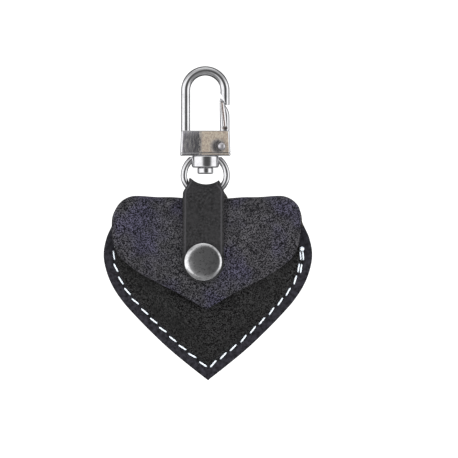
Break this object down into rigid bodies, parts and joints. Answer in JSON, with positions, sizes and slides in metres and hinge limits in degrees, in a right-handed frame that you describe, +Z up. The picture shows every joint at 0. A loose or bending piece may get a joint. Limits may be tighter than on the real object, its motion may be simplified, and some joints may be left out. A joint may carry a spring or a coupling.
{
  "type": "pick holder",
  "caption": "Heart-shaped leather pouch for guitar picks with a folded flap, a snap strap, white saddle stitching and a swivel snap clasp to hang it from.",
  "frame": {"origin": "underside of the hook's crown, where the pick holder hangs", "axes": "+Z up to the hook's crown, -Y to the front with the flap and the snap, X across the pouch"},
  "size_m": [0.0654, 0.0182, 0.0983],
  "materials": {
    "black_leather": "semi-matt fine grain",
    "black_suede": "matt napped",
    "white_thread": "waxed",
    "chrome": "polished",
    "steel": "plain"
  },
  "bodies": {
    "hook": {"hook_frame": "chrome", "gate_pin": "steel", "swivel_pin": "chrome", "gate_spring": "steel"},
    "gate": {"gate": "chrome"},
    "eye": {"swivel_eye": "chrome"},
    "pouch": {"back_panel": "black_leather", "front_panel": "black_suede", "strap_back": "black_leather", "rear_rivet_cap": "chrome", "rear_rivet_post": "steel", "needle_thread": "white_thread", "bobbin_thread": "white_thread", "snap_stud": "chrome", "snap_post": "chrome"},
    "flap": {"flap": "black_leather", "strap_front": "black_leather", "snap_cap": "chrome", "snap_socket": "chrome", "snap_spring": "steel"}
  },
  "joints": [
    {"name": "gate_swing", "type": "hinge", "parent": "hook", "child": "gate", "pos_m": [0.0051, 0, -0.0221], "axis": [0, -1, 0], "range_deg": [0, 24], "stiffness_Nm_per_rad": 0.02, "springref_deg": -28.65, "deforming": ["gate_spring"]},
    {"name": "eye_swivel", "type": "hinge", "parent": "hook", "child": "eye", "pos_m": [0, 0, -0.027], "axis": [0, 0, 1], "continuous": true},
    {"name": "strap_swing", "type": "hinge", "parent": "eye", "child": "pouch", "pos_m": [0, 0, -0.0369], "axis": [1, 0, 0], "range_deg": [-30, 75]},
    {"name": "flap_lift", "type": "hinge", "parent": "pouch", "child": "flap", "pos_m": [0, -0.0045, -0.0398], "axis": [-1, 0, 0], "range_deg": [0, 100], "stiffness_Nm_per_rad": 0.001}
  ]
}
